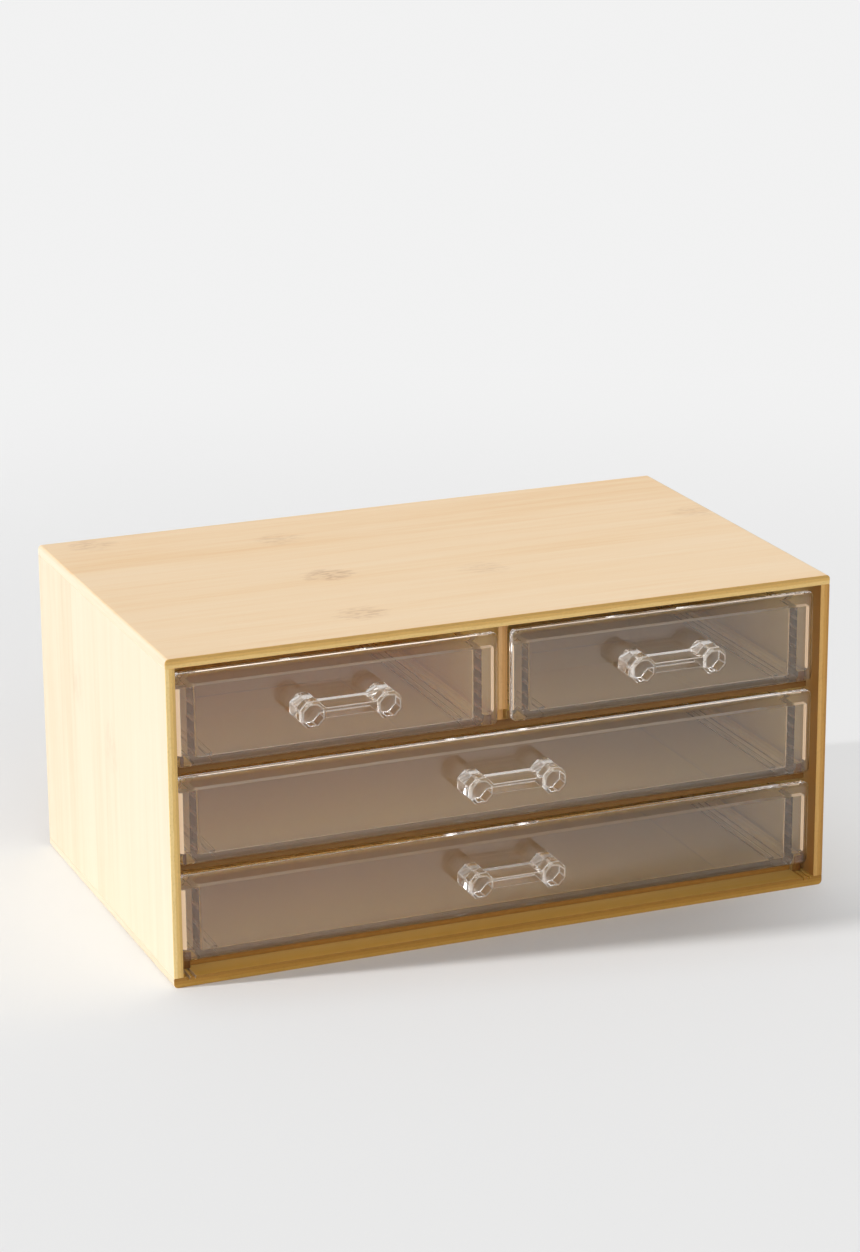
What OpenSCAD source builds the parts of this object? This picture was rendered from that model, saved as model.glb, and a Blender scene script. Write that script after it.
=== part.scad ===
// Desktop mini drawers: a bamboo casing with two small drawers over two wide ones, in clear acrylic.
// Millimetres. X runs across the front, Y from front to back, Z up.
// The origin is the centre of the casing's underside, and the drawers open towards -Y.

/* [Casing] */
// Width of the casing
case_w = 250; // [210:1:320]
// Depth of the casing
case_d = 150; // [110:1:220]
// Thickness of the top, bottom and side panels
panel_t = 3.5; // [3:0.1:6]
// Thickness of the back panel
back_t = 3; // [2:0.1:6]
// Radius of the eased long edges of the top and bottom panels
arris_r = 1.5; // [0.5:0.1:2.5]

/* [Bays] */
// Clear height of the lower bay and of the middle bay
wide_bay_h = 31.75; // [28:0.25:50]
// Clear height of the upper bay
small_bay_h = 37.5; // [32:0.25:60]
// Thickness of the three shelves
shelf_t = 3.5; // [3:0.1:6]
// Setback of the shelves' front edges from the front of the casing
shelf_setback = 9.5; // [8:0.1:16]
// Thickness of the centre divider
divider_t = 3.5; // [2.5:0.1:4.5]
// Setback of the divider's front edge from the front of the casing
divider_setback = 5.5; // [1:0.1:7]
// Height of the corner cut from the front of the divider's foot
divider_notch_h = 5.2; // [2:0.1:12]

/* [Guide strips] */
// Width of each guide strip
guide_w = 3.4; // [2:0.1:3.6]
// Height of each guide strip above its shelf
guide_h = 3; // [1.5:0.1:6]
// Gap between a guide strip and the panel or divider beside it
guide_off = 1.5; // [0.5:0.1:1.6]
// Setback of the guide strips' front ends from the front of the casing
guide_setback = 7.3; // [6.8:0.1:14]
// Width of the saw kerfs in the bottom panel
kerf_w = 1; // [0.6:0.1:1.2]
// Depth of the saw kerfs
kerf_depth = 1; // [0.4:0.1:1.8]
// Distance from a side panel to the middle of the nearer kerf
kerf_off = 1.8; // [1.2:0.1:3]
// Distance between the middles of the two kerfs
kerf_pitch = 2.1; // [1.6:0.1:4]

/* [Drawer fronts] */
// Thickness of each front
front_t = 3.2; // [2.5:0.1:3.4]
// Setback of the fronts' faces from the front of the casing
front_setback = 3; // [0:0.1:3.2]
// Gap between a front and the side panel beside it
front_side_gap = 0.9; // [0.5:0.1:1.5]
// Gap between each upper front and the divider
front_divider_gap = 0.95; // [0.5:0.05:1.5]
// Gap under each front
front_foot_gap = 0.7; // [0.4:0.1:1.5]
// Gap over the upper fronts
front_head_gap = 3.3; // [1:0.1:5]
// How far the lower and middle fronts rise past the underside of the shelf over them
front_lap = 0.55; // [0:0.05:1]
// Radius of the fronts' corners
front_corner_r = 1.8; // [1:0.1:4]
// Width of the chamfer round each front's face
front_rim = 1.2; // [0.4:0.1:1.6]

/* [Trays] */
// Thickness of the trays' walls
wall_t = 2.7; // [1.8:0.1:4]
// Thickness of the trays' floors
floor_t = 1.6; // [1.2:0.1:4]
// Inset of a tray's side from the edge of its front
tray_inset = 4.9; // [4.8:0.1:8]
// Drop from the top of a front to the rim of its tray
tray_drop = 5.5; // [4:0.1:12]
// Height of a tray's underside above the foot of its front
tray_lift = 0.1; // [0:0.1:2]
// Radius of a tray's lower corners
tray_r = 2.4; // [1:0.1:4]
// Gap between a closed tray and the back panel
tray_back_gap = 0.4; // [0.3:0.1:4]
// Running gap between a tray's skids and its shelf
run_gap = 0.3; // [0.1:0.05:0.35]
// Width of the skids under a tray
skid_w = 2; // [1:0.1:5]
// Inset of the skids from the tray's sides
skid_inset = 8; // [3:0.5:20]
// Distance from the edge of a front to the ear of the tray wall behind it
ear_inset = 1; // [0.6:0.1:3]
// Gap between an ear and the top of the guide strip under it
ear_gap = 1.2; // [0.5:0.1:4]
// Radius of the ears' lower corners
ear_r = 2; // [0.5:0.1:4]

/* [Handles] */
// Width of each octagonal knob, flat to flat
knob_af = 9.5; // [7:0.1:14]
// Distance between the middles of a handle's two knobs
knob_pitch = 27.8; // [20:0.1:50]
// How far a handle stands out of its front
handle_d = 11.5; // [7:0.1:18]
// Width of the chamfer round each knob's end
handle_rim = 1; // [0.4:0.1:1.5]
// Height of the bar between the knobs
bar_h = 3.7; // [2:0.1:5]
// Setback of the bar from the ends of the knobs
bar_setback = 0.8; // [0.2:0.1:3]
// Diameter of the pegs that locate a handle
peg_d = 3; // [2:0.1:5]
// Length of the pegs
peg_l = 1.8; // [1:0.1:2]
// Clearance round a peg
peg_gap = 0.05; // [0.02:0.01:0.1]
// Depth left past the end of a peg for the bond
peg_end_gap = 0.2; // [0.1:0.05:0.4]

/* [Hidden] */

$fn = 48;
eps = 0.01; // how far a cutting solid runs past the face that it opens

// Where the casing's faces lie
front_y = -case_d / 2;
back_y = case_d / 2;
inner_x = case_w / 2 - panel_t;      // inner face of the right side panel
back_face_y = back_y - back_t;       // inner face of the back panel

// Heights of the shelves' upper faces, from the bottom up
lower_z = panel_t + shelf_t;
middle_z = lower_z + wide_bay_h + shelf_t;
upper_z = middle_z + wide_bay_h + shelf_t;
ceiling_z = upper_z + small_bay_h;   // underside of the top panel
case_h = ceiling_z + panel_t;

// Where the guide strips stand
guide_x = inner_x - guide_off - guide_w / 2;        // beside the side panels
inner_guide_x = divider_t / 2 + guide_off + guide_w / 2; // beside the divider

// Where the fronts lie
face_y = front_y + front_setback;
bond_y = face_y + front_t;           // back of the fronts, where the trays are bonded
front_edge_x = inner_x - front_side_gap;
inner_edge_x = divider_t / 2 + front_divider_gap;
wide_front_w = 2 * front_edge_x;
small_front_w = front_edge_x - inner_edge_x;
small_x = (front_edge_x + inner_edge_x) / 2;
wide_front_h = wide_bay_h - front_foot_gap + front_lap;
small_front_h = small_bay_h - front_foot_gap - front_head_gap;

// Each drawer is [middle of the front in x, height of its foot, width of the front, its height]
lower_drawer = [0, lower_z + front_foot_gap, wide_front_w, wide_front_h];
middle_drawer = [0, middle_z + front_foot_gap, wide_front_w, wide_front_h];
upper_left_drawer = [-small_x, upper_z + front_foot_gap, small_front_w, small_front_h];
upper_right_drawer = [small_x, upper_z + front_foot_gap, small_front_w, small_front_h];

bamboo = [0.93, 0.82, 0.62];
bamboo_edge = [0.80, 0.64, 0.38];
clear = [0.80, 0.76, 0.70, 0.45];

// A section with its two upper corners rounded, standing on y = 0
module eased_section(w, h, r) {
    translate([-w / 2, 0]) square([w, h - r]);
    translate([r - w / 2, 0]) square([w - 2 * r, h]);
    for (side = [-1, 1])
        translate([side * (w / 2 - r), h - r]) circle(r);
}

// A section drawn in X and Z, run along Y from one depth to another
module run_along_y(from_y, to_y) {
    translate([0, to_y, 0]) rotate([90, 0, 0]) linear_extrude(to_y - from_y) children();
}

module top_panel() {
    color(bamboo)
        translate([0, 0, ceiling_z])
            run_along_y(front_y, back_y) eased_section(case_w, panel_t, arris_r);
}

// The kerfs run out through both ends of the panel
module bottom_panel() {
    color(bamboo)
        difference() {
            translate([0, 0, panel_t]) mirror([0, 0, 1])
                run_along_y(front_y, back_y) eased_section(case_w, panel_t, arris_r);
            for (side = [-1, 1], offset = [kerf_off, kerf_off + kerf_pitch])
                translate([side * (inner_x - offset), 0, panel_t])
                    cube([kerf_w, case_d + 2 * eps, 2 * kerf_depth], center = true);
        }
}

module side_panel(side) {
    color(bamboo)
        translate([side * (inner_x + panel_t / 2) - panel_t / 2, front_y, panel_t])
            cube([panel_t, case_d, ceiling_z - panel_t]);
}

module back_panel() {
    color(bamboo)
        translate([-inner_x, back_face_y, panel_t])
            cube([2 * inner_x, back_t, ceiling_z - panel_t]);
}

// A shelf whose upper face is at height z, and which reaches half_w to each side
module shelf(z, half_w) {
    color(bamboo_edge)
        translate([-half_w, front_y + shelf_setback, z - shelf_t])
            cube([2 * half_w, back_face_y - front_y - shelf_setback, shelf_t]);
}

// The foot's front corner is cut back to the edge of the shelf that it stands on
module centre_divider() {
    color(bamboo_edge)
        difference() {
            translate([-divider_t / 2, front_y + divider_setback, upper_z])
                cube([divider_t, back_face_y - front_y - divider_setback, small_bay_h]);
            translate([-divider_t, front_y, upper_z - divider_notch_h])
                cube([2 * divider_t, shelf_setback, 2 * divider_notch_h]);
        }
}

// A strip centred on x, from height foot_z up to height top_z, that starts behind the casing's front
module guide_strip(x, foot_z, top_z, setback) {
    color(bamboo_edge)
        translate([x - guide_w / 2, front_y + setback, foot_z])
            cube([guide_w, back_face_y - front_y - setback, top_z - foot_z]);
}

// Beside the lower shelf the strips stand on the bottom panel
module lower_guide(side) {
    guide_strip(side * guide_x, panel_t, lower_z + guide_h, guide_setback);
}

// On the other shelves the strips start at the shelf's front edge
module shelf_guide(x, shelf_z) {
    guide_strip(x, shelf_z, shelf_z + guide_h, shelf_setback);
}

module rounded_plate(w, h, r, t) {
    linear_extrude(t)
        hull()
            for (x = [r, w - r], y = [r, h - r])
                translate([x, y]) circle(r, $fn = 32);
}

// A plate with a chamfered face and two blind holes for its handle's pegs
module front(drawer) {
    w = drawer[2];
    h = drawer[3];
    color(clear)
        translate([drawer[0], bond_y, drawer[1]])
            rotate([90, 0, 0])
                difference() {
                    translate([-w / 2, 0, 0])
                        hull() {
                            rounded_plate(w, h, front_corner_r, front_t - front_rim);
                            translate([front_rim, front_rim, 0])
                                rounded_plate(w - 2 * front_rim, h - 2 * front_rim,
                                              front_corner_r - front_rim / 2, front_t);
                        }
                    for (side = [-1, 1])
                        translate([side * knob_pitch / 2, h / 2, front_t - peg_l - peg_end_gap])
                            cylinder(d = peg_d + 2 * peg_gap, h = front_t);
                }
}

// An open box on two skids. Its front wall runs out past the sides as two ears, clear of the
// guide strips, and is bonded to the back of the front.
module tray(drawer) {
    w = drawer[2] - 2 * tray_inset;
    h = drawer[3] - tray_drop - tray_lift;
    end_y = back_face_y - tray_back_gap;
    skid_h = front_foot_gap + tray_lift - run_gap;
    ear_h = h - (guide_h + ear_gap - front_foot_gap - tray_lift);
    color(clear)
        translate([drawer[0], 0, drawer[1] + tray_lift]) {
            run_along_y(bond_y, end_y)
                difference() {
                    mirror([0, 1]) translate([0, -h]) eased_section(w, h, tray_r);
                    translate([wall_t - w / 2, floor_t]) square([w - 2 * wall_t, h]);
                }
            for (wall_y = [bond_y, end_y - wall_t])
                translate([wall_t - w / 2, wall_y, floor_t])
                    cube([w - 2 * wall_t, wall_t, h - floor_t]);
            run_along_y(bond_y, bond_y + wall_t)
                translate([0, h]) mirror([0, 1])
                    eased_section(drawer[2] - 2 * ear_inset, ear_h, ear_r);
            for (side = [-1, 1])
                translate([side * (w / 2 - skid_inset) - skid_w / 2, front_y + shelf_setback, -skid_h])
                    cube([skid_w, end_y - front_y - shelf_setback, skid_h]);
        }
}

// An octagonal knob standing on Z = 0, with a chamfer cut along each of the eight edges of its end
module knob() {
    difference() {
        rotate([0, 0, 22.5]) cylinder(d = knob_af / cos(22.5), h = handle_d, $fn = 8);
        for (turn = [0 : 45 : 315])
            rotate([0, 0, turn]) translate([knob_af / 2, 0, handle_d - handle_rim]) rotate([0, -45, 0])
                translate([0, -knob_af / 2, 0]) cube([2 * handle_rim, knob_af, 2 * handle_rim]);
    }
}

// Two knobs joined by a bar, with a peg behind each knob
module handle(drawer) {
    color(clear)
        translate([drawer[0], face_y, drawer[1] + drawer[3] / 2])
            rotate([90, 0, 0]) {
                for (side = [-1, 1])
                    translate([side * knob_pitch / 2, 0, 0]) {
                        knob();
                        translate([0, 0, -peg_l]) cylinder(d = peg_d, h = peg_l + handle_d / 2);
                    }
                translate([-knob_pitch / 2, -bar_h / 2, 0])
                    cube([knob_pitch, bar_h, handle_d - bar_setback]);
            }
}

top_panel();
bottom_panel();
side_panel(-1);  // left_side_panel
side_panel(1);  // right_side_panel
back_panel();
shelf(lower_z, guide_x - guide_w / 2);  // lower_shelf
shelf(middle_z, inner_x);  // middle_shelf
shelf(upper_z, inner_x);  // upper_shelf
centre_divider();
lower_guide(-1);  // lower_left_guide
lower_guide(1);  // lower_right_guide
shelf_guide(-guide_x, middle_z);  // middle_left_guide
shelf_guide(guide_x, middle_z);  // middle_right_guide
shelf_guide(-guide_x, upper_z);  // upper_left_outer_guide
shelf_guide(-inner_guide_x, upper_z);  // upper_left_inner_guide
shelf_guide(inner_guide_x, upper_z);  // upper_right_inner_guide
shelf_guide(guide_x, upper_z);  // upper_right_outer_guide
front(upper_left_drawer);  // upper_left_front
tray(upper_left_drawer);  // upper_left_tray
handle(upper_left_drawer);  // upper_left_handle
front(upper_right_drawer);  // upper_right_front
tray(upper_right_drawer);  // upper_right_tray
handle(upper_right_drawer);  // upper_right_handle
front(middle_drawer);  // middle_front
tray(middle_drawer);  // middle_tray
handle(middle_drawer);  // middle_handle
front(lower_drawer);  // lower_front
tray(lower_drawer);  // lower_tray
handle(lower_drawer);  // lower_handle
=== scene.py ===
"""Desktop mini drawers: a bamboo casing with four clear drawers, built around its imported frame.

Each operator in the sidebar's panel builds one group of pieces at the size and place that the
frame gives, and the last one sets the floor, the lamps and the camera.
"""
import math
from functools import reduce

import bmesh
import bpy
from mathutils import Matrix, Vector


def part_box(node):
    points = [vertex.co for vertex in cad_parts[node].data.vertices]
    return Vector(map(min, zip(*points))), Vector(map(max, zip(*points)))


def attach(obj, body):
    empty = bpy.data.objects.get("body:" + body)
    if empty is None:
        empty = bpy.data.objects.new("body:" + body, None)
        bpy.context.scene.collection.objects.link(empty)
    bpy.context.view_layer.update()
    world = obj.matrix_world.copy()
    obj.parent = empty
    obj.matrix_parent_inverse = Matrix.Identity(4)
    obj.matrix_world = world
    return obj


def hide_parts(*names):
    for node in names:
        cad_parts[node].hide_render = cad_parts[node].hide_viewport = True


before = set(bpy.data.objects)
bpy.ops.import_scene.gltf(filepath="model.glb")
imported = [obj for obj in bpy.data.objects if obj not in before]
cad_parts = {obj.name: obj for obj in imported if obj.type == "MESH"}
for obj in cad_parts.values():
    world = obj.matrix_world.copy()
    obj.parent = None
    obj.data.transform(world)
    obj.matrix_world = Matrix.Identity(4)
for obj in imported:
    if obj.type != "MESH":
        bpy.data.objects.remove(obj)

bl_info = {
    "name": "Desktop Mini Drawers",
    "version": (1, 0, 0),
    "blender": (4, 5, 0),
    "location": "View3D > Sidebar > Mini Drawers",
    "description": "Builds a bamboo casing with four clear drawers around its packed frame",
    "category": "Add Mesh",
}

MM = 0.001
TOUCH = 0.01 * MM       # two places closer than this are one
ALONG = 0.999           # least part of a direction along an axis that it runs along
FACING = 0.7            # least part of a normal along the axis that its face looks along
AXES = "XYZ"
DRAWERS = ("upper_left", "upper_right", "middle", "lower")
OUTER_BOARDS = ("top_panel", "bottom_panel", "left_side_panel", "right_side_panel", "back_panel")
INNER_BOARDS = ("lower_shelf", "middle_shelf", "upper_shelf", "centre_divider")
GUIDES = tuple(node for node in sorted(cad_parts) if node.endswith("_guide"))
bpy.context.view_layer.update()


# ---------------------------------------------------------------- shader maths

class Value:
    """A number in a shader, on which Python's operators add Math nodes."""

    def __init__(self, shader, socket):
        self.shader = shader
        self.socket = socket

    def maths(self, operation, *terms, clamp=False):
        settings = {"operation": operation, "use_clamp": clamp}
        node = self.shader.node("ShaderNodeMath", settings, dict(enumerate(terms)))
        return Value(self.shader, node.outputs[0])

    def __add__(self, other):
        return self.maths("ADD", self, other)

    def __sub__(self, other):
        return self.maths("SUBTRACT", self, other)

    def __rsub__(self, other):
        return self.maths("SUBTRACT", other, self)

    def __mul__(self, other):
        return self.maths("MULTIPLY", self, other)

    def __truediv__(self, other):
        return self.maths("DIVIDE", self, other)

    __radd__ = __add__
    __rmul__ = __mul__

    def floor(self):
        return self.maths("FLOOR", self)

    def root(self):
        return self.maths("SQRT", self)

    def clamped(self):
        return self.maths("ADD", self, 0, clamp=True)

    def larger(self, other):
        return self.maths("MAXIMUM", self, other)

    def swing(self, size):
        """How far this is above a half, or below it, times a size."""
        return (self - 0.5) * size

    def step(self, low, high):
        """0 below low and 1 above high, with a smooth rise between them."""
        settings = {"interpolation_type": "SMOOTHSTEP"}
        node = self.shader.node("ShaderNodeMapRange", settings, {0: self, 1: low, 2: high})
        return Value(self.shader, node.outputs[0])


class Shader:
    """A node tree and the one method that adds a node of any kind to it."""

    def __init__(self, owner):
        owner.use_nodes = True
        self.tree = owner.node_tree
        self.tree.nodes.clear()

    def node(self, kind, settings=None, sockets=None):
        """Adds a node, makes its settings, and then fills or links its input sockets."""
        made = self.tree.nodes.new(kind)
        for name, setting in (settings or {}).items():
            if name == "stops":
                self.set_stops(made.color_ramp, setting)
            else:
                setattr(made, name, setting)
        for name, value in (sockets or {}).items():
            source = value.socket if isinstance(value, Value) else value
            if isinstance(source, bpy.types.NodeSocket):
                self.tree.links.new(source, made.inputs[name])
            else:
                made.inputs[name].default_value = source
        return made

    @staticmethod
    def set_stops(ramp, stops):
        """Gives a ramp its stops, each a position and a colour."""
        while len(ramp.elements) < len(stops):
            ramp.elements.new(1)
        for element, (position, tone) in zip(ramp.elements, stops):
            element.position = position
            element.color = (*tone, 1)

    def place(self, axis):
        """The object coordinate along one axis, in metres."""
        coordinates = self.node("ShaderNodeTexCoord")
        split = self.node("ShaderNodeSeparateXYZ", {}, {0: coordinates.outputs["Object"]})
        return Value(self, split.outputs[axis])

    def noise(self, x, y, z, detail=2):
        """A soft noise about 0.5 over three numbers."""
        vector = self.node("ShaderNodeCombineXYZ", {}, {0: x, 1: y, 2: z})
        sockets = {"Vector": vector.outputs[0], "Scale": 1, "Detail": detail}
        return Value(self, self.node("ShaderNodeTexNoise", {}, sockets).outputs[0])

    def random(self, number):
        """A number from 0 to 1 that stays the same for each whole number."""
        node = self.node("ShaderNodeTexWhiteNoise", {"noise_dimensions": "1D"}, {"W": number})
        return Value(self, node.outputs["Value"])

    def ramp(self, value, stops):
        """A colour from a list of stops."""
        return self.node("ShaderNodeValToRGB", {"stops": stops}, {0: value}).outputs[0]

    def mix(self, factor, first, second, way="MIX"):
        """The second colour laid over the first."""
        settings = {"data_type": "RGBA", "blend_type": way}
        return self.node("ShaderNodeMix", settings, {0: factor, 6: first, 7: second}).outputs[2]

    def bump(self, height, distance):
        """A normal raised by a height of 0 to 1 times a distance in metres."""
        sockets = {"Height": height, "Distance": distance, "Strength": 1}
        return self.node("ShaderNodeBump", {}, sockets).outputs[0]

    def principled(self, sockets):
        return self.node("ShaderNodeBsdfPrincipled", {}, sockets).outputs[0]

    def light(self, kind, colour, strength=1):
        """Light from an Emission or a Background node."""
        sockets = {"Color": colour, "Strength": strength}
        return self.node("ShaderNode" + kind, {}, sockets).outputs[0]

    def blend(self, factor, first, second):
        """The first surface or light, and the second one where the factor is 1."""
        return self.node("ShaderNodeMixShader", {}, {0: factor, 1: first, 2: second}).outputs[0]

    def ray(self, kind):
        """1 for the rays of one kind, and 0 for the others."""
        path = self.node("ShaderNodeLightPath")
        return Value(self, path.outputs[f"Is {kind} Ray"])

    def finish(self, surface, kind="ShaderNodeOutputMaterial"):
        self.node(kind, {}, {"Surface": surface})


# ---------------------------------------------------------------- sizes and colours

def length(name, description, default):
    """A length in metres that is given in millimetres."""
    return bpy.props.FloatProperty(
        name=name, description=description, default=default * MM, min=0, unit="LENGTH")


def colour(name, description, default):
    return bpy.props.FloatVectorProperty(
        name=name, description=description, default=default, size=3, min=0, max=1,
        subtype="COLOR")


def amount(name, description, default, **limits):
    return bpy.props.FloatProperty(
        name=name, description=description, default=default, min=0, **limits)


def angle(name, description, degrees):
    """An angle in radians that is given in degrees."""
    return bpy.props.FloatProperty(
        name=name, description=description, default=math.radians(degrees), subtype="ANGLE")


class CasingSettings(bpy.types.PropertyGroup):
    """Edges and tones of the bamboo boards."""

    arris: length("Eased edge", "Radius of the long outer edges of the top and bottom", 1.5)
    edge: length("Sanded edge", "Width that sandpaper takes off every other edge", 0.18)
    kerf: length("Kerf width", "Width of the saw kerfs in the bottom panel", 1)
    kerf_depth: length("Kerf depth", "Depth of the saw kerfs in the bottom panel", 1)
    kerf_near: length("Near kerf", "Distance from a side panel to the nearer kerf's middle", 1.8)
    kerf_far: length("Far kerf", "Distance from a side panel to the farther kerf's middle", 3.9)
    notch: length("Divider notch", "Height of the corner cut from the divider's foot", 5.2)
    strip: length("Strip width", "Width of the bamboo strips that a board is glued from", 21)
    flat: colour("Outside", "Main tone of the outer faces", (0.855, 0.63, 0.39))
    # Painted light: the left side takes a greyer copy of the outside's tone with less contrast, so
    # that it reads washed out and pale where the lamp on the left lights it.
    side: colour("Left side", "Main tone of the left side's outer faces, which the lamp bleaches",
                 (0.685, 0.59, 0.435))
    side_contrast: amount("Left side's contrast", "How far that side's tones lie apart", 0.6)
    inner: colour("Inside", "Main tone of every face inside the casing", (0.95, 0.785, 0.37))
    mouth: colour("Mouth", "Shade laid over the inside next to its open front",
                  (0.56, 0.40, 0.25))
    mouth_depth: length("Mouth depth", "Depth over which that shade fades out", 26)
    far_side: colour("Far side", "Shade laid over the inside towards the right", (0.84, 0.85, 0.86))
    knuckle: colour("Knuckle", "Tone of the marks where the stalk's joints were",
                    (0.42, 0.20, 0.09))
    edge_pale: colour("Edge, outer ply", "Tone of a sawn edge's first ply", (0.84, 0.56, 0.21))
    edge_mid: colour("Edge, middle ply", "Tone of a sawn edge's middle ply", (0.72, 0.43, 0.12))
    edge_deep: colour("Edge, last ply", "Tone of a sawn edge's last ply", (0.60, 0.34, 0.09))


class DrawerSettings(bpy.types.PropertyGroup):
    """Edges of the clear fronts and trays."""

    corner: length("Front corner", "Radius of a front's corners", 1.8)
    rim: length("Front rim", "Radius round a front's face", 1.5)
    edge: length("Polished edge", "Radius of the other edges", 0.35)
    wall: length("Wall", "Thickness of a tray's walls", 2.7)
    floor: length("Floor", "Thickness of a tray's floor", 1.6)
    lift: length("Lift", "Height of a tray's underside above the foot of its front", 0.1)
    lower: length("Lower corner", "Radius of a tray's long lower corners", 2.4)
    inside: length("Inner corner", "Radius of a tray's upright inner corners", 1.2)
    bead: length("Bead", "Radius where a tray's floor meets its walls", 0.8)
    skid: length("Skid", "Width of the skids under a tray", 2)
    skid_inset: length("Skid inset", "Distance from a tray's side to its skid's middle", 8)
    ear: length("Ear", "How far the ears at a tray's front end reach past its sides", 3.9)
    ear_foot: length("Ear's foot", "Height of an ear's underside above the foot of the front", 3.5)
    ear_corner: length("Ear corner", "Radius of an ear's lower corner", 2)
    # Painted highlight: each ear's sanded end is a strip that glows in the ears' tone.
    left_tip: length("Left ear's tip", "Width of the sanded end of the left ear", 1.19)
    right_tip: length("Right ear's tip", "Width of the sanded end of the right ear", 0.42)
    # Painted highlight: the bright line is a whitish strip that glows along each front's top.
    line: length("Bright line", "Height of the bright line along a front's top", 0.167)
    film: length("Film", "Air left between a front and the tray behind it", 0.04)
    bond: length("Bond", "Depth to which a glued piece enters its neighbour", 0.02)
    tint: colour("Clear plastic", "Tint of the fronts and trays", (0.97, 0.955, 0.94))
    # Painted highlights: the tones of the glowing strips on the fronts' tops and on the ears' ends,
    # and how brightly the ears' ends and the pulls' edges glow.
    top_highlight: colour("Sanded top", "Tone of the fronts' sanded top edges", (1.0, 0.90, 0.80))
    ear_highlight: colour("Sanded ears", "Tone of the ears' sanded ends", (0.90, 0.66, 0.42))
    edge_highlight_glow: amount("Edge glow", "How brightly the sanded edges pass light on", 0.45)
    scuff: amount("Scuff", "Roughness that use adds to the trays' undersides and rims", 0.3)


class HandleSettings(bpy.types.PropertyGroup):
    """Sizes of the clear pulls, and the painted highlight on their edges."""

    across: length("Knob width", "Width of an octagonal knob, flat to flat", 9.5)
    pitch: length("Knob distance", "Distance between the middles of a pull's knobs", 27.8)
    rim: length("Knob chamfer", "Width of the chamfer round a knob's end", 1)
    bar: length("Bar height", "Height of the bar between the knobs", 3.7)
    bar_setback: length("Bar setback", "Setback of the bar from the ends of the knobs", 0.8)
    # Painted highlight: the pulls' eased edges are milky and glow in their tone.
    edge: length("Sanded edge", "Width of the sanded edges", 0.3)
    edge_haze: amount("Edge haze", "How milky the sanded edges are", 0.25, max=1)
    edge_highlight_tone: colour("Sanded edge's tone", "Tone of the sanded edges", (1.0, 0.95, 0.88))


class StageSettings(bpy.types.PropertyGroup):
    """Floor and light."""

    floor: colour("Floor", "Colour of the floor", (0.80, 0.80, 0.80))
    # Painted light: the glow lifts the floor round the casing, and its shadow to the right.
    glow: colour("Glow", "Colour that lifts the floor round the casing", (0.82, 0.82, 0.82))
    backdrop: colour("Backdrop", "Colour that the camera sees past the floor",
                     (0.885, 0.885, 0.885))
    sky: amount("Soft light", "Strength of the even light from all round", 0.56)
    ceiling: amount("Ceiling", "Brightness of the room overhead in reflections", 0.3)
    softbox: amount("Softbox", "Brightness of the softbox overhead in reflections", 6)
    sun: amount("Side light", "Strength of the lamp on the left", 3.0)
    sun_height: angle("Side light's height", "Height of that lamp over the horizon", 26)
    sun_turn: angle("Side light's turn", "How far that lamp stands behind the left side", 9.6)
    sun_width: angle("Side light's width", "Width of that lamp in the sky", 4)
    fill: amount("Front light", "Strength of the soft lamp in front", 0.47)
    fill_height: angle("Front light's height", "Height of that lamp over the horizon", 20)
    fill_width: angle("Front light's width", "Width of that lamp in the sky", 40)


# ---------------------------------------------------------------- materials

# Waves to the metre of the bamboo's noises, along the grain and across it.
FIBRES = (90, 2400)
STREAKS = (14, 300)
DRIFT = (5, 40)
FLECKS = (260, 900)
FEATHERS = (60, 420)

# How much of a board's shade comes from its strip's own tone and from each noise.
STRIP_SHARE = 0.35
FIBRE_SHARE = 0.55
STREAK_SHARE = 1.1
DRIFT_SHARE = 0.9

PALER = 0.14                # how far the palest tone's power of the base lies under 1
DEEPER = 0.3                # how far the deepest tone's power of the base lies over 1
STRIP_SHIFT = 0.4           # how far the first strip's edge lies off the middle, in strips
STRIP_START = 0.3           # metres over which the starts of the strips' grain are spread
GRAIN_DEPTH = 0.05 * MM
KNUCKLE_LENGTH = 10 * MM    # from a knuckle's middle, along the grain
KNUCKLE_WIDTH = 9 * MM      # from a knuckle's middle, across the grain
FEATHER_LENGTH = 16 * MM
FLECK_RISE = (0.42, 0.62)   # range of the fleck noise over which a knuckle's tone sets in
FLECKED = 0.8               # part of a knuckle's tone that is broken into flecks
FAR_START = -0.15           # where the painted shade on the inside starts towards the right, in half widths


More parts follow.
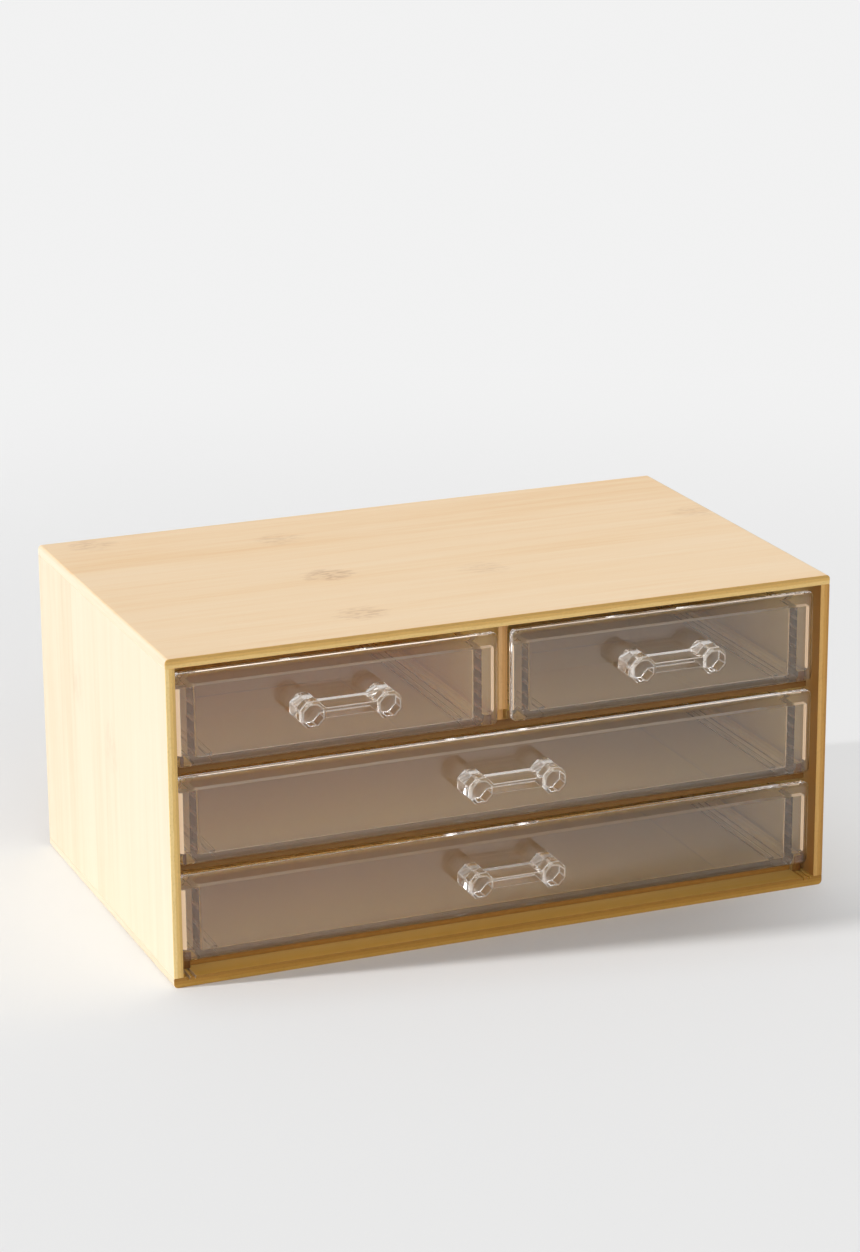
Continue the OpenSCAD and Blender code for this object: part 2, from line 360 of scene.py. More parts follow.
def bamboo(name, axes, base, knuckles=(), mouth=None, contrast=1):
    """Bamboo strips glued edge to edge, in tones that lie as far about a base colour as the
    contrast says. Axes name the way along the grain, across the strips and through the board.
    Each knuckle is its place along, its place across and its strength. With a mouth's shade the
    board is one of the inside: it gets painted shade next to the casing's open front, and painted
    shade that darkens it towards the right as well."""
    tones = bpy.context.scene.casing_settings
    pale = [channel ** (1 - PALER * contrast) for channel in base]
    deep = [channel ** (1 + DEEPER * contrast) for channel in base]
    material = bpy.data.materials.new(name)
    shader = Shader(material)
    along, across, through = (shader.place(AXES.index(axis)) for axis in axes)
    strip = (across / tones.strip + STRIP_SHIFT).floor()
    tone = shader.random(strip)
    run = along + tone * STRIP_START

    def figure(lengthways, waves, detail=2):
        along_grain, across_grain = waves
        return shader.noise(lengthways * along_grain, across * across_grain,
                            through * across_grain, detail)

    fibres = figure(run, FIBRES)
    streaks = figure(run, STREAKS, 3)
    drift = figure(run, DRIFT)
    shade = tone.swing(STRIP_SHARE) + streaks.swing(STREAK_SHARE) + fibres.swing(FIBRE_SHARE)
    shade = (shade + drift.swing(DRIFT_SHARE) + 0.5).clamped()
    face = shader.ramp(shade, ((0.0, pale), (0.5, base), (1.0, deep)))
    if knuckles:
        flecks = figure(along, FLECKS).step(*FLECK_RISE)
        feather = figure(along, FEATHERS).swing(FEATHER_LENGTH)
        spots = []
        for knuckle_along, knuckle_across, strength in knuckles:
            reach = (along - knuckle_along + feather) / KNUCKLE_LENGTH
            spread = (across - knuckle_across) / KNUCKLE_WIDTH
            spots.append((1 - reach * reach - spread * spread).clamped() * strength)
        mark = reduce(Value.larger, spots) * (flecks * FLECKED + (1 - FLECKED))
        face = shader.mix(mark.clamped(), face, (*tones.knuckle, 1))
    # Painted shade: darker next to the open front, fading out over the mouth's depth.
    if mouth:
        front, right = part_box("right_side_panel")[0].yx
        near_front = 1 - shader.place(1).step(front, front + tones.mouth_depth)
        face = shader.mix(near_front, face, (*mouth, 1), "MULTIPLY")
        # Painted shade: darker towards the right.
        far = shader.place(0).step(FAR_START * right, right)
        face = shader.mix(far, face, (*tones.far_side, 1), "MULTIPLY")
    shader.finish(shader.principled({
        "Base Color": face,
        "Roughness": 0.40 + streaks * 0.16,
        "Normal": shader.bump(fibres * 0.6 + streaks * 0.4, GRAIN_DEPTH),
    }))
    return material


# Factors on the tones of a board's sawn front edge, and on those of every other edge.
# Besides the boards' own tones they hold painted light and shade: painted light lifts the left
# side's edge, which the lamp on the left grazes, and painted shade darkens the right side's
# edge and the recessed edges of the boards inside.
EDGE_TONES_AND_LIGHT = {
    "top_panel": (0.98, 1.0, 1.0),
    "bottom_panel": (0.60, 0.49, 0.21),
    "left_side_panel": (1.09, 1.2, 1.38),
    "right_side_panel": (0.80, 0.69, 0.52),
    "centre_divider": (0.77, 0.66, 0.70),
    "lower_shelf": (0.44, 0.31, 0.13),
}
INNER_EDGE_TONE_AND_SHADE = (0.26, 0.18, 0.08)

# Painted shade next to the open front, for the boards that take a shade of their own there
# in place of the mouth's.
MOUTH_SHADES = {
    "bottom_panel": (0.71, 0.50, 0.21),
    "right_side_panel": (0.55, 0.30, 0.14),
}

PLY_BORDERS = (0.36, 0.44, 0.68, 0.76)   # where each glue line starts and ends, in thicknesses
PLY_WAVE = 0.22                          # how far the plies wander, in thicknesses
EDGE_GRAIN = (120, 9)                    # its waves to the metre along, and to the thickness
EDGE_PORES = (900, 14)                   # the same for the pores
GRAIN_SHARE = 0.5                        # how much the grain darkens an edge
PORE_SHARE = 1.1                         # how much the pores darken it
PORE_DEPTH = 0.06 * MM
PORE_SHADE = 0.5                         # the darkest pores, as a factor on the last ply's tone


def ply_edge(name, along, through, low, thickness, shade):
    """The sawn edge of a board: three plies, one over the other through its thickness, each in
    its own tone times the board's factor, which holds painted light and shade as well as the
    board's own tone."""
    tones = bpy.context.scene.casing_settings
    material = bpy.data.materials.new(name)
    shader = Shader(material)
    run = shader.place(AXES.index(along))
    layer = (shader.place(AXES.index(through)) - low) / thickness
    seed = low / MM
    grain = shader.noise(run * EDGE_GRAIN[0], layer * EDGE_GRAIN[1], seed, 3)
    pores = shader.noise(run * EDGE_PORES[0], layer * EDGE_PORES[1], seed)
    pale, mid, deep = ([channel * factor for channel, factor in zip(tone, shade)]
                       for tone in (tones.edge_pale, tones.edge_mid, tones.edge_deep))
    stops = zip((0, *PLY_BORDERS), (pale, pale, mid, mid, deep))
    sawn = shader.ramp(layer + grain.swing(PLY_WAVE), tuple(stops))
    dark = (pores.swing(-PORE_SHARE) + grain.swing(GRAIN_SHARE)).clamped()
    sawn = shader.mix(dark, sawn, (*(PORE_SHADE * channel for channel in deep), 1))
    shader.finish(shader.principled({
        "Base Color": sawn,
        "Roughness": 0.5 + grain * 0.2,
        "Normal": shader.bump(pores, PORE_DEPTH),
    }))
    return material


def inside_boxes(shader, boxes):
    """1 inside any of the boxes, each given by two corners, and 0 outside them."""
    blur = bpy.context.scene.drawer_settings.film
    places = [shader.place(axis) for axis in range(3)]
    masks = []
    for low, high in boxes:
        x, y, z = (place.step(start, start + blur) * (1 - place.step(end - blur, end))
                   for place, start, end in zip(places, low, high))
        masks.append(x * y * z)
    return reduce(Value.larger, masks)


REFRACTION = 1.49         # of acrylic
POLISH = 0.004            # roughness of the polished plastic
WIPES = (30, 90, 260)     # waves to the metre of the wipe marks, along X, Y and Z
WIPE_RISE = (0.45, 0.75)  # range of that noise over which a wipe mark sets in
WIPED = 0.03              # roughness that a wipe mark adds
FROST_SHADE = 0.6         # colour of a sanded place's painted highlight, as a factor on its tone
FROST_ROUGHNESS = 0.6


def clear_plastic(name, boxes=(), haze=0, tone=(1, 1, 1), glow=0, polished=None):
    """Polished clear plastic that lets lamps through, with faint wipe marks. It is sanded
    inside boxes, or all over with a haze of 0 to 1, and there it carries a painted highlight: a
    rough whitish surface in its tone that glows. Below the first and above the second of its
    polished heights it is scuffed."""
    sizes = bpy.context.scene.drawer_settings
    tint = (*sizes.tint, 1)
    material = bpy.data.materials.new(name)
    shader = Shader(material)
    x, y, z = (shader.place(axis) for axis in range(3))
    wipes = shader.noise(*(place * waves for place, waves in zip((x, y, z), WIPES)), 3)
    roughness = wipes.step(*WIPE_RISE) * WIPED + POLISH
    if polished:
        foot, top = polished
        scuffed = (1 - z.step(foot, foot + sizes.bond)).larger(z.step(top - sizes.bond, top))
        roughness = roughness + scuffed * sizes.scuff
    surface = shader.principled({
        "Base Color": tint,
        "Roughness": roughness,
        "IOR": REFRACTION,
        "Transmission Weight": 1,
    })
    if boxes or haze:
        # Painted highlight: a rough whitish surface in the tone, which glows without a lamp.
        frost_highlight = shader.principled({
            "Base Color": (*(FROST_SHADE * channel for channel in tone), 1),
            "Roughness": FROST_ROUGHNESS,
            "Emission Color": (*tone, 1),
            "Emission Strength": glow,
        })
        factor = inside_boxes(shader, boxes) if boxes else haze
        surface = shader.blend(factor, surface, frost_highlight)
    clear = shader.node("ShaderNodeBsdfTransparent", {}, {"Color": tint}).outputs[0]
    for kind in ("Diffuse", "Shadow"):
        surface = shader.blend(shader.ray(kind), surface, clear)
    shader.finish(surface)
    return material


# ---------------------------------------------------------------- modelling

def put_down():
    """Leaves edit mode and selects nothing."""
    if bpy.context.mode != "OBJECT":
        bpy.ops.object.mode_set(mode="OBJECT")
    bpy.ops.object.select_all(action="DESELECT")


def open_box(name, low, high):
    """A box between two corners, open in edit mode with nothing selected."""
    put_down()
    low, high = Vector(low), Vector(high)
    bpy.ops.mesh.primitive_cube_add(size=1, location=(low + high) / 2, scale=high - low)
    return open_piece(name)


def open_piece(name):
    """Names the new primitive, puts its place in its mesh and opens it in edit mode."""
    piece = bpy.context.object
    piece.name = name
    bpy.ops.object.transform_apply(location=True, rotation=True, scale=True)
    open_mesh()
    return piece


def open_mesh():
    """Opens the active piece in edit mode with nothing selected."""
    bpy.ops.object.mode_set(mode="EDIT")
    bpy.ops.mesh.select_all(action="DESELECT")


def pick_edges(piece, test):
    """Selects the edges whose middle and direction pass a test."""
    bpy.ops.mesh.select_mode(type="EDGE")
    bpy.ops.mesh.select_all(action="DESELECT")
    mesh = bmesh.from_edit_mesh(piece.data)
    for edge in mesh.edges:
        start, end = (corner.co for corner in edge.verts)
        if test((start + end) / 2, (end - start).normalized()):
            edge.select_set(True)
    bmesh.update_edit_mesh(piece.data)


def pick_faces(piece, test):
    """Selects the faces whose middle and normal pass a test."""
    bpy.ops.mesh.select_mode(type="FACE")
    bpy.ops.mesh.select_all(action="DESELECT")
    mesh = bmesh.from_edit_mesh(piece.data)
    for face in mesh.faces:
        if test(face.calc_center_median(), face.normal):
            face.select_set(True)
    bmesh.update_edit_mesh(piece.data)


def runs(direction, axis):
    """True if a direction is along an axis."""
    return abs(direction[AXES.index(axis)]) > ALONG


def near(first, second):
    return abs(first - second) < TOUCH


def round_edges(radius, segments):
    bpy.ops.mesh.bevel(offset=radius, segments=segments, profile=0.5, affect="EDGES")


def combine(piece, other, operation):
    """Joins another closed piece to this one, or cuts it away, and deletes it."""
    put_down()
    bpy.context.view_layer.objects.active = piece
    piece.select_set(True)
    modifier = piece.modifiers.new("combine", "BOOLEAN")
    modifier.operation = operation
    modifier.solver = "EXACT"
    modifier.object = other
    bpy.ops.object.modifier_apply(modifier=modifier.name)
    bpy.data.objects.remove(other)
    open_mesh()


SHARP = math.radians(35)    # least angle of an edge that sandpaper takes off
SMOOTH = math.radians(32)   # largest angle of an edge that looks rounded


def ease_sharp_edges(piece, width, segments=1, material=-1):
    """Bevels every edge that is still sharp, and may give the new faces another material."""
    bpy.ops.object.mode_set(mode="OBJECT")
    modifier = piece.modifiers.new("ease", "BEVEL")
    modifier.width = width
    modifier.segments = segments
    modifier.limit_method = "ANGLE"
    modifier.angle_limit = SHARP
    modifier.material = material
    bpy.ops.object.modifier_apply(modifier=modifier.name)
    open_mesh()


def close_piece(piece, body, node, slot, *materials):
    """Leaves edit mode, smooths the rounded edges, keeps the flats flat, and seats the piece."""
    bpy.ops.object.mode_set(mode="OBJECT")
    bpy.ops.object.shade_smooth_by_angle(angle=SMOOTH)
    modifier = piece.modifiers.new("flats", "WEIGHTED_NORMAL")
    modifier.keep_sharp = True
    bpy.ops.object.modifier_apply(modifier=modifier.name)
    for material in materials:
        piece.data.materials.append(material)
    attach(piece, body)
    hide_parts(node)


# ---------------------------------------------------------------- casing

def grain_axes(node):
    """The ways along the grain, across the strips and through the board."""
    if node.endswith("side_panel") or node == "centre_divider":
        return "ZYX"
    if node == "back_panel":
        return "XZY"
    if node.endswith("guide"):
        return "YZX"
    return "XYZ"


# Millimetres along a board's grain and across it to each knuckle, and the knuckle's strength.
KNUCKLES = {
    "top_panel": ((-40, -4, 0.6), (-41, 47, 0.3), (-107, 67, 0.35), (-46, -52, 0.4),
                  (15, -18, 0.25), (118, 20, 0.25)),
    "left_side_panel": ((78, 30, 0.15), (66, -10, 0.15)),
    "right_side_panel": ((70, -32, 0.3), (48, 24, 0.3)),
    "back_panel": ((-60, 60, 0.4), (72, 38, 0.35)),
}
INNER_FACE, OUTER_FACE, EDGE, END = range(4)   # a board's material slots


def finish_board(piece, node, slot):
    """Gives a board's inner and outer faces, front and back edges and ends their finishes,
    and seats it in the casing."""
    tones = bpy.context.scene.casing_settings
    low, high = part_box(node)
    axes = grain_axes(node)
    through = AXES.index(axes[2])
    knuckles = [(along * MM, across * MM, strength)
                for along, across, strength in KNUCKLES.get(node, ())]
    outer, contrast = tones.flat, 1
    if node == "left_side_panel":
        # Painted light: the lamp-lit left side takes the washed-out copy of the tone.
        outer, contrast = tones.side, tones.side_contrast
    close_piece(
        piece, "casing", node, slot,
        bamboo(node + "_inner_face", axes, tones.inner,
               mouth=MOUTH_SHADES.get(node, tuple(tones.mouth))),
        bamboo(node + "_outer_face", axes, outer, knuckles, contrast=contrast),
        ply_edge(node + "_edge", "X" if axes[2] == "Z" else "Z", axes[2], low[through],
                 high[through] - low[through], EDGE_TONES_AND_LIGHT.get(node, INNER_EDGE_TONE_AND_SHADE)),
        bamboo(node + "_end", "YZX", tones.side))
    middle = (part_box("top_panel")[1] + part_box("bottom_panel")[0]) / 2
    for polygon in piece.data.polygons:
        normal = polygon.normal
        if abs(normal.y) > FACING and axes[2] != "Y":
            polygon.material_index = EDGE
        elif node in OUTER_BOARDS and normal.dot(polygon.center - middle) > 0:
            # Painted light: the left ends of the top and bottom, which the lamp lights, take the
            # washed-out copy of the tone as well.
            is_left_end = normal.x < -FACING and axes[2] == "Z"
            polygon.material_index = END if is_left_end else OUTER_FACE


def round_outer_edges(piece, outer):
    """Rounds the long edges of the top or bottom panel at the casing's outer height."""
    sizes = bpy.context.scene.casing_settings
    pick_edges(piece, lambda middle, way: runs(way, "Y") and near(middle.z, outer))
    round_edges(sizes.arris, segments=5)


def cut_box(piece, low, high):
    """Cuts a box out of an open piece."""
    combine(piece, open_box("cutter", low, high), "DIFFERENCE")


def saw_kerfs(piece):
    """Saws two kerfs beside each side panel along the bottom panel's upper face."""
    sizes = bpy.context.scene.casing_settings
    low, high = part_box("bottom_panel")
    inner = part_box("right_side_panel")[0].x
    for side in (-1, 1):
        for distance in (sizes.kerf_near, sizes.kerf_far):
            middle = side * (inner - distance)
            cut_box(piece, (middle - sizes.kerf / 2, low.y - MM, high.z - sizes.kerf_depth),
                    (middle + sizes.kerf / 2, high.y + MM, high.z + MM))


def build_casing():
    sizes = bpy.context.scene.casing_settings
    for node in OUTER_BOARDS:
        low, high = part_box(node)
        piece = open_box(node + "_board", low, high)
        if node == "top_panel":
            round_outer_edges(piece, high.z)
        if node == "bottom_panel":
            round_outer_edges(piece, low.z)
            saw_kerfs(piece)
        ease_sharp_edges(piece, sizes.edge)
        finish_board(piece, node, "bamboo")


def build_shelves():
    sizes = bpy.context.scene.casing_settings
    for node in INNER_BOARDS:
        low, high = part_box(node)
        piece = open_box(node + "_board", low, high)
        if node == "centre_divider":
            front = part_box("upper_shelf")[0].y
            cut_box(piece, (low.x - MM, low.y - MM, low.z - MM),
                    (high.x + MM, front, low.z + sizes.notch))
        ease_sharp_edges(piece, sizes.edge)
        finish_board(piece, node, "inner_bamboo")


def build_guides():
    sizes = bpy.context.scene.casing_settings
    for node in GUIDES:
        piece = open_box(node + "_strip", *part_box(node))
        ease_sharp_edges(piece, sizes.edge)
        finish_board(piece, node, "inner_bamboo")


# ---------------------------------------------------------------- drawers

# How brightly the painted highlight, a line along the top of a front, glows. The lower
# drawer's has none.
TOP_HIGHLIGHT_GLOWS = {"upper_left": 0.95, "upper_right": 0.5, "middle": 0.55}
KNOB_SIDES = 8


def front_plastic(drawer):
    """The clear plastic of a front, with a painted highlight along its top between its ears: a
    rough whitish line that glows.
    """
    sizes = bpy.context.scene.drawer_settings
    name = drawer + "_front_plastic"
    if drawer not in TOP_HIGHLIGHT_GLOWS:
        return clear_plastic(name)
    low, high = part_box(drawer + "_front")
    tray_low, tray_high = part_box(drawer + "_tray")
    margin = sizes.ear + sizes.wall
    line = ((tray_low.x + margin, low.y, high.z - sizes.line),
            (tray_high.x - margin, low.y + sizes.rim, high.z + MM))
    return clear_plastic(name, [line], tone=sizes.top_highlight, glow=TOP_HIGHLIGHT_GLOWS[drawer])


def build_fronts():
    sizes = bpy.context.scene.drawer_settings
    for drawer in DRAWERS:
        node = drawer + "_front"
        low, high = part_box(node)
        piece = open_box(node + "_plate", low, high)
        pick_edges(piece, lambda middle, way: runs(way, "Y"))
        round_edges(sizes.corner, segments=7)
        pick_edges(piece, lambda middle, way: near(middle.y, low.y))
        round_edges(sizes.rim, segments=6)
        pick_edges(piece, lambda middle, way: near(middle.y, high.y))
        round_edges(sizes.edge, segments=3)
        close_piece(piece, drawer + "_drawer", node, "clear_front", front_plastic(drawer))


def hollow(piece, low, high):
    """Hollows an open tray between two corners from above, and rounds its inside and rim."""
    sizes = bpy.context.scene.drawer_settings
    pick_faces(piece, lambda middle, normal: normal.z > ALONG)
    bpy.ops.mesh.inset(thickness=sizes.wall)
    drop = high.z - low.z - sizes.floor
    bpy.ops.mesh.extrude_region_move(TRANSFORM_OT_translate={"value": (0, 0, -drop)})
    pick_edges(piece, lambda middle, way: runs(way, "Z") and low.y + MM < middle.y
               and middle.y < high.y - MM)
    round_edges(sizes.inside, segments=4)
    pick_edges(piece, lambda middle, way: near(middle.z, low.z + sizes.floor))
    round_edges(sizes.bead, segments=3)
    pick_edges(piece, lambda middle, way: near(middle.z, high.z)
               and middle.y > low.y + sizes.wall + sizes.inside)
    round_edges(sizes.edge, segments=3)
    pick_edges(piece, lambda middle, way: runs(way, "Z") and near(middle.y, high.y))
    round_edges(sizes.edge, segments=3)


def add_ears(piece, low, high):
    """Carries an open tray's front wall out past its sides, between two corners."""
    sizes = bpy.context.scene.drawer_settings
    root = sizes.ear + sizes.wall / 2
    for start, end, tip in ((low.x, low.x + root, low.x), (high.x - root, high.x, high.x)):
        ear = open_box("ear", (start, low.y, low.z), (end, high.y, high.z))
        pick_edges(ear, lambda middle, way: runs(way, "Y") and near(middle.z, low.z)
                   and near(middle.x, tip))
        round_edges(sizes.ear_corner, segments=6)
        pick_edges(ear, lambda middle, way: near(middle.x, tip))
        round_edges(sizes.edge, segments=3)
        combine(piece, ear, "UNION")


def add_skids(piece, low, high, foot):
    """Stands an open tray, which lies between two corners, on two skids down to a foot."""
    sizes = bpy.context.scene.drawer_settings
    shelf_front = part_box("upper_shelf")[0].y
    for side in (-1, 1):
        middle = (low.x + high.x) / 2 + side * ((high.x - low.x) / 2 - sizes.skid_inset)
        skid = open_box("skid", (middle - sizes.skid / 2, shelf_front, foot),
                        (middle + sizes.skid / 2, high.y - sizes.lower, foot + 2 * sizes.floor))
        combine(piece, skid, "UNION")


def tray_plastic(node, foot):
    """The clear plastic of a tray whose underside is at a foot: sanded on the ends of its ears,
    where a painted highlight glows, and scuffed underneath and along its rim."""
    sizes = bpy.context.scene.drawer_settings
    low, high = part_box(node)
    top = high.z - sizes.edge
    left_tip = ((low.x - MM, low.y, foot), (low.x + sizes.left_tip, high.y, top))
    right_tip = ((high.x - sizes.right_tip, low.y, foot), (high.x + MM, high.y, top))
    return clear_plastic(
        node + "_plastic", (left_tip, right_tip), tone=sizes.ear_highlight, glow=sizes.edge_highlight_glow,
        polished=(foot + sizes.bond, high.z - sizes.bond))


def build_trays():
    sizes = bpy.context.scene.drawer_settings
    for drawer in DRAWERS:
        node = drawer + "_tray"
        low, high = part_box(node)
        front_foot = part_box(drawer + "_front")[0].z
        near_end = low.y + sizes.film
        foot = front_foot + sizes.lift
        box_low = Vector((low.x + sizes.ear, near_end, foot))
        box_high = Vector((high.x - sizes.ear, high.y, high.z))
        piece = open_box(node + "_box", box_low, box_high)
        pick_edges(piece, lambda middle, way: runs(way, "Y") and near(middle.z, foot))
        round_edges(sizes.lower, segments=6)
        hollow(piece, box_low, box_high)
        add_ears(piece, Vector((low.x, near_end, front_foot + sizes.ear_foot)),
                 Vector((high.x, near_end + sizes.wall, high.z)))
        add_skids(piece, box_low, box_high, low.z)
        close_piece(piece, drawer + "_drawer", node, "clear_tray", tray_plastic(node, foot))


def open_knob(name, middle, front, back):
    """An octagonal knob whose flats face up, down and sideways, open in edit mode."""
    sizes = bpy.context.scene.handle_settings
    half_side = math.pi / KNOB_SIDES
    put_down()
    bpy.ops.mesh.primitive_cylinder_add(
        vertices=KNOB_SIDES, radius=sizes.across / 2 / math.cos(half_side), depth=back - front,
        location=(middle.x, (front + back) / 2, middle.z), rotation=(math.pi / 2, half_side, 0))
    piece = open_piece(name)
    pick_edges(piece, lambda edge_middle, way: near(edge_middle.y, front))
    round_edges(sizes.rim, segments=1)
    return piece


def ease_and_highlight_edges(piece, *plastics):
    """Gives an open piece of a pull its two plastics, and eases its edges in the second one,
    which glows as a painted highlight.
    """
    for plastic in plastics:
        piece.data.materials.append(plastic)
    ease_sharp_edges(piece, bpy.context.scene.handle_settings.edge, segments=2, material=1)


def build_handles():
    sizes = bpy.context.scene.handle_settings
    drawer_sizes = bpy.context.scene.drawer_settings
    # The second plastic is the painted highlight on the pulls' eased edges.
    plastics = (clear_plastic("clear_handle_plastic"),
                clear_plastic("handle_edge_highlight", haze=sizes.edge_haze,
                              tone=sizes.edge_highlight_tone, glow=drawer_sizes.edge_highlight_glow))
    half = Vector((sizes.pitch / 2, 0, 0))
    for drawer in DRAWERS:
        node = drawer + "_handle"
        low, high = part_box(node)
        middle = (low + high) / 2
        front = low.y
        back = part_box(drawer + "_front")[0].y + drawer_sizes.bond
        piece = open_knob(node + "_pull", middle - half, front, back)
        ease_and_highlight_edges(piece, *plastics)
        other = open_knob("knob", middle + half, front, back)
        ease_and_highlight_edges(other, *plastics)
        combine(piece, other, "UNION")
        bar = open_box(
            "bar", (middle.x - half.x, front + sizes.bar_setback, middle.z - sizes.bar / 2),
            (middle.x + half.x, back, middle.z + sizes.bar / 2))
        ease_and_highlight_edges(bar, *plastics)
        combine(piece, bar, "UNION")
        close_piece(piece, drawer + "_drawer", node, "clear_handle")


# ---------------------------------------------------------------- stage

FLOOR_RADIUS = 9.0
FLOOR_FADE = (0.35, 0.80)      # metres from the middle over which the backdrop sets in
AHEAD_GLOW = (0, 0.04)         # metres ahead of the side light's shadow edge over which the painted glow sets in
AHEAD_SHARE = 0.5              # part of the floor's colour there that is glow
RIGHT_GLOW = (0.05, 0.19)      # metres to the right over which more painted glow sets in, lifting the shadow there
RIGHT_SHARE = 0.72
DARK_ROOM = (-0.60, -0.42)     # Y over which the dark room ahead gives way to the paper
ROOM_COVER = (0.15, 0.75)      # strength of the dark room over which it hides the paper
PAPER_WAVES = 700              # to the metre

# Ranges of a direction's X, Y or Z over which each part of the sky sets in or ends.
SOFTBOX_FOOT = (0.62, 0.66)
SOFTBOX_TOP = (0.93, 0.95)
SOFTBOX_RIGHT = (0.22, 0.30)
SOFTBOX_BACK = (0, 0.1)
BEHIND = (-0.1, 0.1)
OVERHEAD = (0.25, 0.5)

CAMERA_PLACE = Vector((-0.47328, -1.17105, 0.48883))
CAMERA_YAW = math.radians(22.04)     # turned to the right of straight ahead
CAMERA_PITCH = math.radians(17.39)   # looking down
CAMERA_ROLL = math.radians(-0.40)
CAMERA_SENSOR = 36                   # millimetres, along the longer side of the frame
CAMERA_LENS = 104.06                 # millimetres

PLASTIC_BOUNCES = 96                 # enough to cross every layer of clear plastic
SHADOW_BOUNCES = 64                  # the same for light on its way to a lamp
DIFFUSE_BOUNCES = 16


def passed_ray(shader):
    """1 for the rays that come off something shiny or through something clear."""
    return shader.ray("Glossy").larger(shader.ray("Transmission"))


def seen_ray(shader):
    """1 for the rays that look at a thing, and 0 for those that gather its light."""
    return passed_ray(shader).larger(shader.ray("Camera"))


def floor_paper():
    """Pale paper with painted light round the casing: a glow, for what looks at the floor, lifts it
    ahead of the side light's shadow edge and over the shadow to the right, without drowning the
    shadow next to the casing, and the paper turns into the backdrop far out. What is seen in gloss
    or through plastic finds a dark room ahead of the casing."""
    sizes = bpy.context.scene.stage_settings
    material = bpy.data.materials.new("floor_paper")
    shader = Shader(material)
    x, y = shader.place(0), shader.place(1)
    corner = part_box("left_side_panel")[0]
    # Painted light: a glow that lifts the floor ahead of the side light's shadow edge and over the
    # shadow to the right of the casing.
    ahead = corner.y - y - (x - corner.x) * math.tan(sizes.sun_turn)
    lit = ahead.step(*AHEAD_GLOW) * AHEAD_SHARE
    lit = lit.larger(x.step(*RIGHT_GLOW) * RIGHT_SHARE) * seen_ray(shader)
    matte = shader.principled({
        "Base Color": (*sizes.floor, 1),
        "Roughness": shader.noise(x * PAPER_WAVES, y * PAPER_WAVES, 0) * 0.1 + 0.85,
        "Specular IOR Level": 0.1,
    })
    paper = shader.blend(lit, matte, shader.light("Emission", (*sizes.glow, 1)))
    room = (1 - y.step(*DARK_ROOM)) * passed_ray(shader)
    far_colour = shader.mix(room, (*sizes.backdrop, 1), (*[sizes.ceiling] * 3, 1))
    far = (x * x + y * y).root().step(*FLOOR_FADE).larger(room.step(*ROOM_COVER))
    shader.finish(shader.blend(far, paper, shader.light("Emission", far_colour)))
    return material


def build_floor():
    put_down()
    bpy.ops.mesh.primitive_circle_add(vertices=96, radius=FLOOR_RADIUS, fill_type="NGON")
    floor = bpy.context.object
    floor.name = "floor"
    floor.data.materials.append(floor_paper())


def build_world():
    """Even soft light. What is seen in gloss or through plastic finds the backdrop behind the
    casing, and a dark room with a softbox above and ahead of it."""
    sizes = bpy.context.scene.stage_settings
    world = bpy.data.worlds.new("studio")
    bpy.context.scene.world = world
    shader = Shader(world)
    white = (1, 1, 1, 1)
    soft = shader.light("Background", white, sizes.sky)
    backdrop = shader.light("Background", (*sizes.backdrop, 1))
    ceiling = shader.light("Background", white, sizes.ceiling)
    softbox = shader.light("Background", white, sizes.softbox)
    x, y, z = (shader.place(axis) for axis in range(3))
    box = z.step(*SOFTBOX_FOOT) * (1 - z.step(*SOFTBOX_TOP))
    box = box * (1 - x.step(*SOFTBOX_RIGHT)) * (1 - y.step(*SOFTBOX_BACK))
    horizon = shader.blend(y.step(*BEHIND), ceiling, backdrop)
    room = shader.blend(z.step(*OVERHEAD), horizon, shader.blend(box, ceiling, softbox))
    seen = shader.blend(passed_ray(shader), backdrop, room)
    mixed = shader.blend(seen_ray(shader), soft, seen)
    shader.finish(mixed, "ShaderNodeOutputWorld")


def add_lamp(name, towards, strength, width):
    """A far lamp in the given direction, as wide as an angle in the sky. It doesn't show in
    gloss or through plastic, where the softbox stands in for it."""
    bpy.ops.object.light_add(type="SUN", location=towards)
    lamp = bpy.context.object
    lamp.name = name
    lamp.rotation_euler = Vector(towards).to_track_quat("Z", "Y").to_euler()
    lamp.visible_glossy = False
    lamp.visible_transmission = False
    lamp.data.energy = strength
    lamp.data.angle = width


def build_lamps():
    sizes = bpy.context.scene.stage_settings
    level = math.cos(sizes.sun_height)
    left = (-level * math.cos(sizes.sun_turn), level * math.sin(sizes.sun_turn),
            math.sin(sizes.sun_height))
    add_lamp("side_light", left, sizes.sun, sizes.sun_width)
    ahead = (0, -math.cos(sizes.fill_height), math.sin(sizes.fill_height))
    add_lamp("front_light", ahead, sizes.fill, sizes.fill_width)


def build_camera():
    level = math.cos(CAMERA_PITCH)
    forward = Vector((math.sin(CAMERA_YAW) * level, math.cos(CAMERA_YAW) * level,
                      -math.sin(CAMERA_PITCH)))
    level_right = Vector((math.cos(CAMERA_YAW), -math.sin(CAMERA_YAW), 0))
    level_up = level_right.cross(forward)
    right = math.cos(CAMERA_ROLL) * level_right + math.sin(CAMERA_ROLL) * level_up
    up = math.cos(CAMERA_ROLL) * level_up - math.sin(CAMERA_ROLL) * level_right
    bpy.ops.object.camera_add(location=CAMERA_PLACE)
    camera = bpy.context.object
    turn = Matrix((right, up, -forward)).transposed().to_4x4()
    camera.matrix_world = Matrix.Translation(CAMERA_PLACE) @ turn
    camera.data.sensor_width = CAMERA_SENSOR
    camera.data.lens = CAMERA_LENS
    bpy.context.scene.camera = camera


def build_stage():
    scene = bpy.context.scene
    scene.view_settings.view_transform = "Standard"
    scene.cycles.transparent_max_bounces = SHADOW_BOUNCES
    scene.cycles.max_bounces = PLASTIC_BOUNCES
    scene.cycles.diffuse_bounces = DIFFUSE_BOUNCES
    scene.cycles.glossy_bounces = PLASTIC_BOUNCES
    scene.cycles.transmission_bounces = PLASTIC_BOUNCES
    build_floor()
    build_world()
    build_lamps()
    build_camera()


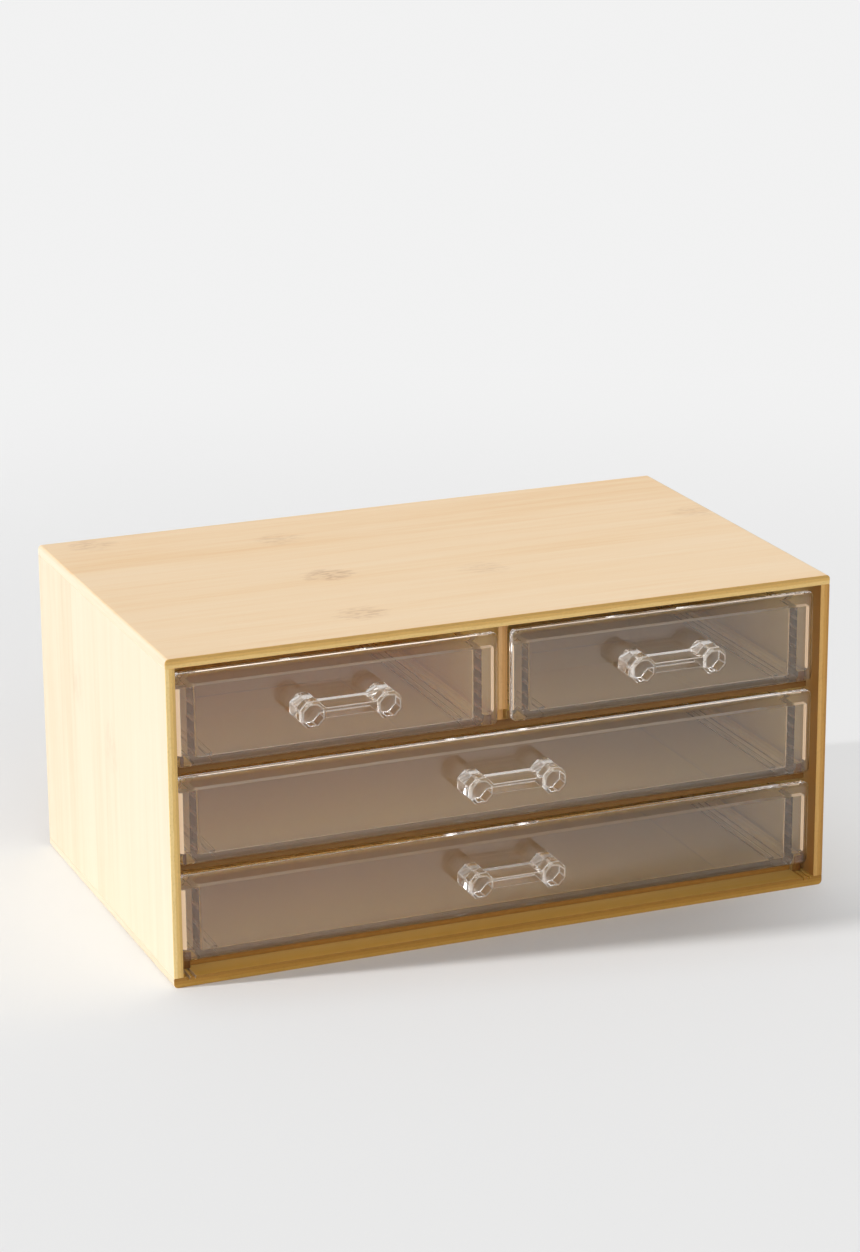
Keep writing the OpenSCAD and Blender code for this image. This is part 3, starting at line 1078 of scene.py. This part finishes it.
# ---------------------------------------------------------------- add-on

class BuildCasing(bpy.types.Operator):
    """Builds the five outer boards of the casing"""

    bl_idname = "mini_drawers.casing"
    bl_label = "Casing"

    def execute(self, context):
        build_casing()
        return {"FINISHED"}


class BuildShelves(bpy.types.Operator):
    """Builds the three shelves and the divider"""

    bl_idname = "mini_drawers.shelves"
    bl_label = "Shelves and Divider"

    def execute(self, context):
        build_shelves()
        return {"FINISHED"}


class BuildGuides(bpy.types.Operator):
    """Builds the guide strips beside the drawers"""

    bl_idname = "mini_drawers.guides"
    bl_label = "Guide Strips"

    def execute(self, context):
        build_guides()
        return {"FINISHED"}


class BuildFronts(bpy.types.Operator):
    """Builds the clear drawer fronts"""

    bl_idname = "mini_drawers.fronts"
    bl_label = "Drawer Fronts"

    def execute(self, context):
        build_fronts()
        return {"FINISHED"}


class BuildTrays(bpy.types.Operator):
    """Builds the clear trays behind the fronts"""

    bl_idname = "mini_drawers.trays"
    bl_label = "Trays"

    def execute(self, context):
        build_trays()
        return {"FINISHED"}


class BuildHandles(bpy.types.Operator):
    """Builds the clear pulls on the fronts"""

    bl_idname = "mini_drawers.handles"
    bl_label = "Handles"

    def execute(self, context):
        build_handles()
        return {"FINISHED"}


class BuildStage(bpy.types.Operator):
    """Sets the floor, the light and the camera"""

    bl_idname = "mini_drawers.stage"
    bl_label = "Stage"

    def execute(self, context):
        build_stage()
        return {"FINISHED"}


OPERATORS = (BuildCasing, BuildShelves, BuildGuides, BuildFronts, BuildTrays, BuildHandles,
             BuildStage)
SETTINGS = {
    "casing_settings": CasingSettings,
    "drawer_settings": DrawerSettings,
    "handle_settings": HandleSettings,
    "stage_settings": StageSettings,
}


class MiniDrawersPanel(bpy.types.Panel):
    """Lists the operators that build the drawers"""

    bl_idname = "VIEW3D_PT_mini_drawers"
    bl_label = "Mini Drawers"
    bl_space_type = "VIEW_3D"
    bl_region_type = "UI"
    bl_category = "Mini Drawers"

    def draw(self, context):
        for operator in OPERATORS:
            self.layout.operator(operator.bl_idname)


def register():
    for settings in SETTINGS.values():
        bpy.utils.register_class(settings)
    for name, settings in SETTINGS.items():
        setattr(bpy.types.Scene, name, bpy.props.PointerProperty(type=settings))
    for operator in OPERATORS:
        bpy.utils.register_class(operator)
    bpy.utils.register_class(MiniDrawersPanel)


def unregister():
    bpy.utils.unregister_class(MiniDrawersPanel)
    for operator in reversed(OPERATORS):
        bpy.utils.unregister_class(operator)
    for name, settings in SETTINGS.items():
        delattr(bpy.types.Scene, name)
        bpy.utils.unregister_class(settings)


def main():
    register()
    bpy.ops.mini_drawers.casing()
    bpy.ops.mini_drawers.shelves()
    bpy.ops.mini_drawers.guides()
    bpy.ops.mini_drawers.fronts()
    bpy.ops.mini_drawers.trays()
    bpy.ops.mini_drawers.handles()
    bpy.ops.mini_drawers.stage()


if __name__ == "__main__":
    main()
